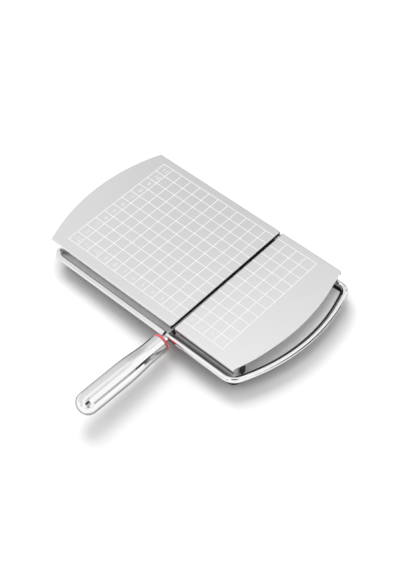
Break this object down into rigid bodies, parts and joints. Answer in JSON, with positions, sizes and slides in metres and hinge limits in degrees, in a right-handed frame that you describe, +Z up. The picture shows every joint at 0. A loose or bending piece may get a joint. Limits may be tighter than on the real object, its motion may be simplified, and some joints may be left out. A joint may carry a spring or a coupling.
{
  "type": "cheese slicer board",
  "caption": "Flat steel slicing board split by a slot, with a hinged wire bow and a turned handle that draws the cutting wire down into the slot.",
  "frame": {"origin": "middle of the footprint of the whole slicer, handle included, on the table it stands on", "axes": "+Z up from the table, +X along the board from the large board to the small one, the handle points to -Y"},
  "size_m": [0.2254, 0.2255, 0.0286],
  "materials": {
    "satin_steel": "satin",
    "bright_steel": "polished stainless",
    "dull_steel": "plain",
    "red_silicone": "matte silicone",
    "black_plastic": "moulded",
    "black_rubber": "matte",
    "grey_nylon": "moulded"
  },
  "bodies": {
    "base": {"base_screw_1": "dull_steel", "base_screw_2": "dull_steel", "base_screw_3": "dull_steel", "base_screw_4": "dull_steel", "base_screw_5": "dull_steel", "base_screw_6": "dull_steel", "front_corner_block": "black_plastic", "front_foot_screw_1": "dull_steel", "front_foot_screw_2": "dull_steel", "hinge_pin": "dull_steel", "inner_bearing": "black_plastic", "left_board": "satin_steel", "left_floor": "dull_steel", "left_foot_front": "black_rubber", "left_foot_rear": "black_rubber", "left_front_bar": "bright_steel", "left_post_front_inner": "dull_steel", "left_post_front_outer": "dull_steel", "left_post_rear_inner": "dull_steel", "left_post_rear_outer": "dull_steel", "left_rail": "bright_steel", "rail_clamp_inner": "black_plastic", "rail_clamp_left_front": "black_plastic", "rail_clamp_left_rear": "black_plastic", "rail_clamp_rear": "black_plastic", "rear_foot_screw_1": "dull_steel", "rear_foot_screw_2": "dull_steel", "right_bearing": "black_plastic", "right_board": "satin_steel", "right_floor": "dull_steel", "right_foot_front": "black_rubber", "right_foot_rear": "black_rubber", "right_front_bar": "bright_steel", "right_post_front_inner": "dull_steel", "right_post_front_outer": "dull_steel", "right_post_rear_inner": "dull_steel", "right_post_rear_outer": "dull_steel", "under_frame": "black_plastic"},
    "bow": {"wire_bow": "bright_steel", "wire_eye": "dull_steel", "cutting_wire": "bright_steel", "front_wire_ferrule": "dull_steel", "rear_wire_ferrule": "dull_steel", "handle_ring": "red_silicone", "handle_shell": "bright_steel", "handle_cap": "dull_steel", "handle_core": "grey_nylon", "tension_screw": "dull_steel", "handle_spacer": "bright_steel"}
  },
  "joints": [
    {"name": "bow_hinge", "type": "hinge", "parent": "base", "child": "bow", "pos_m": [0.02995, 0.10504, 0.0148], "axis": [-1, 0, 0], "range_deg": [0, 100]}
  ]
}
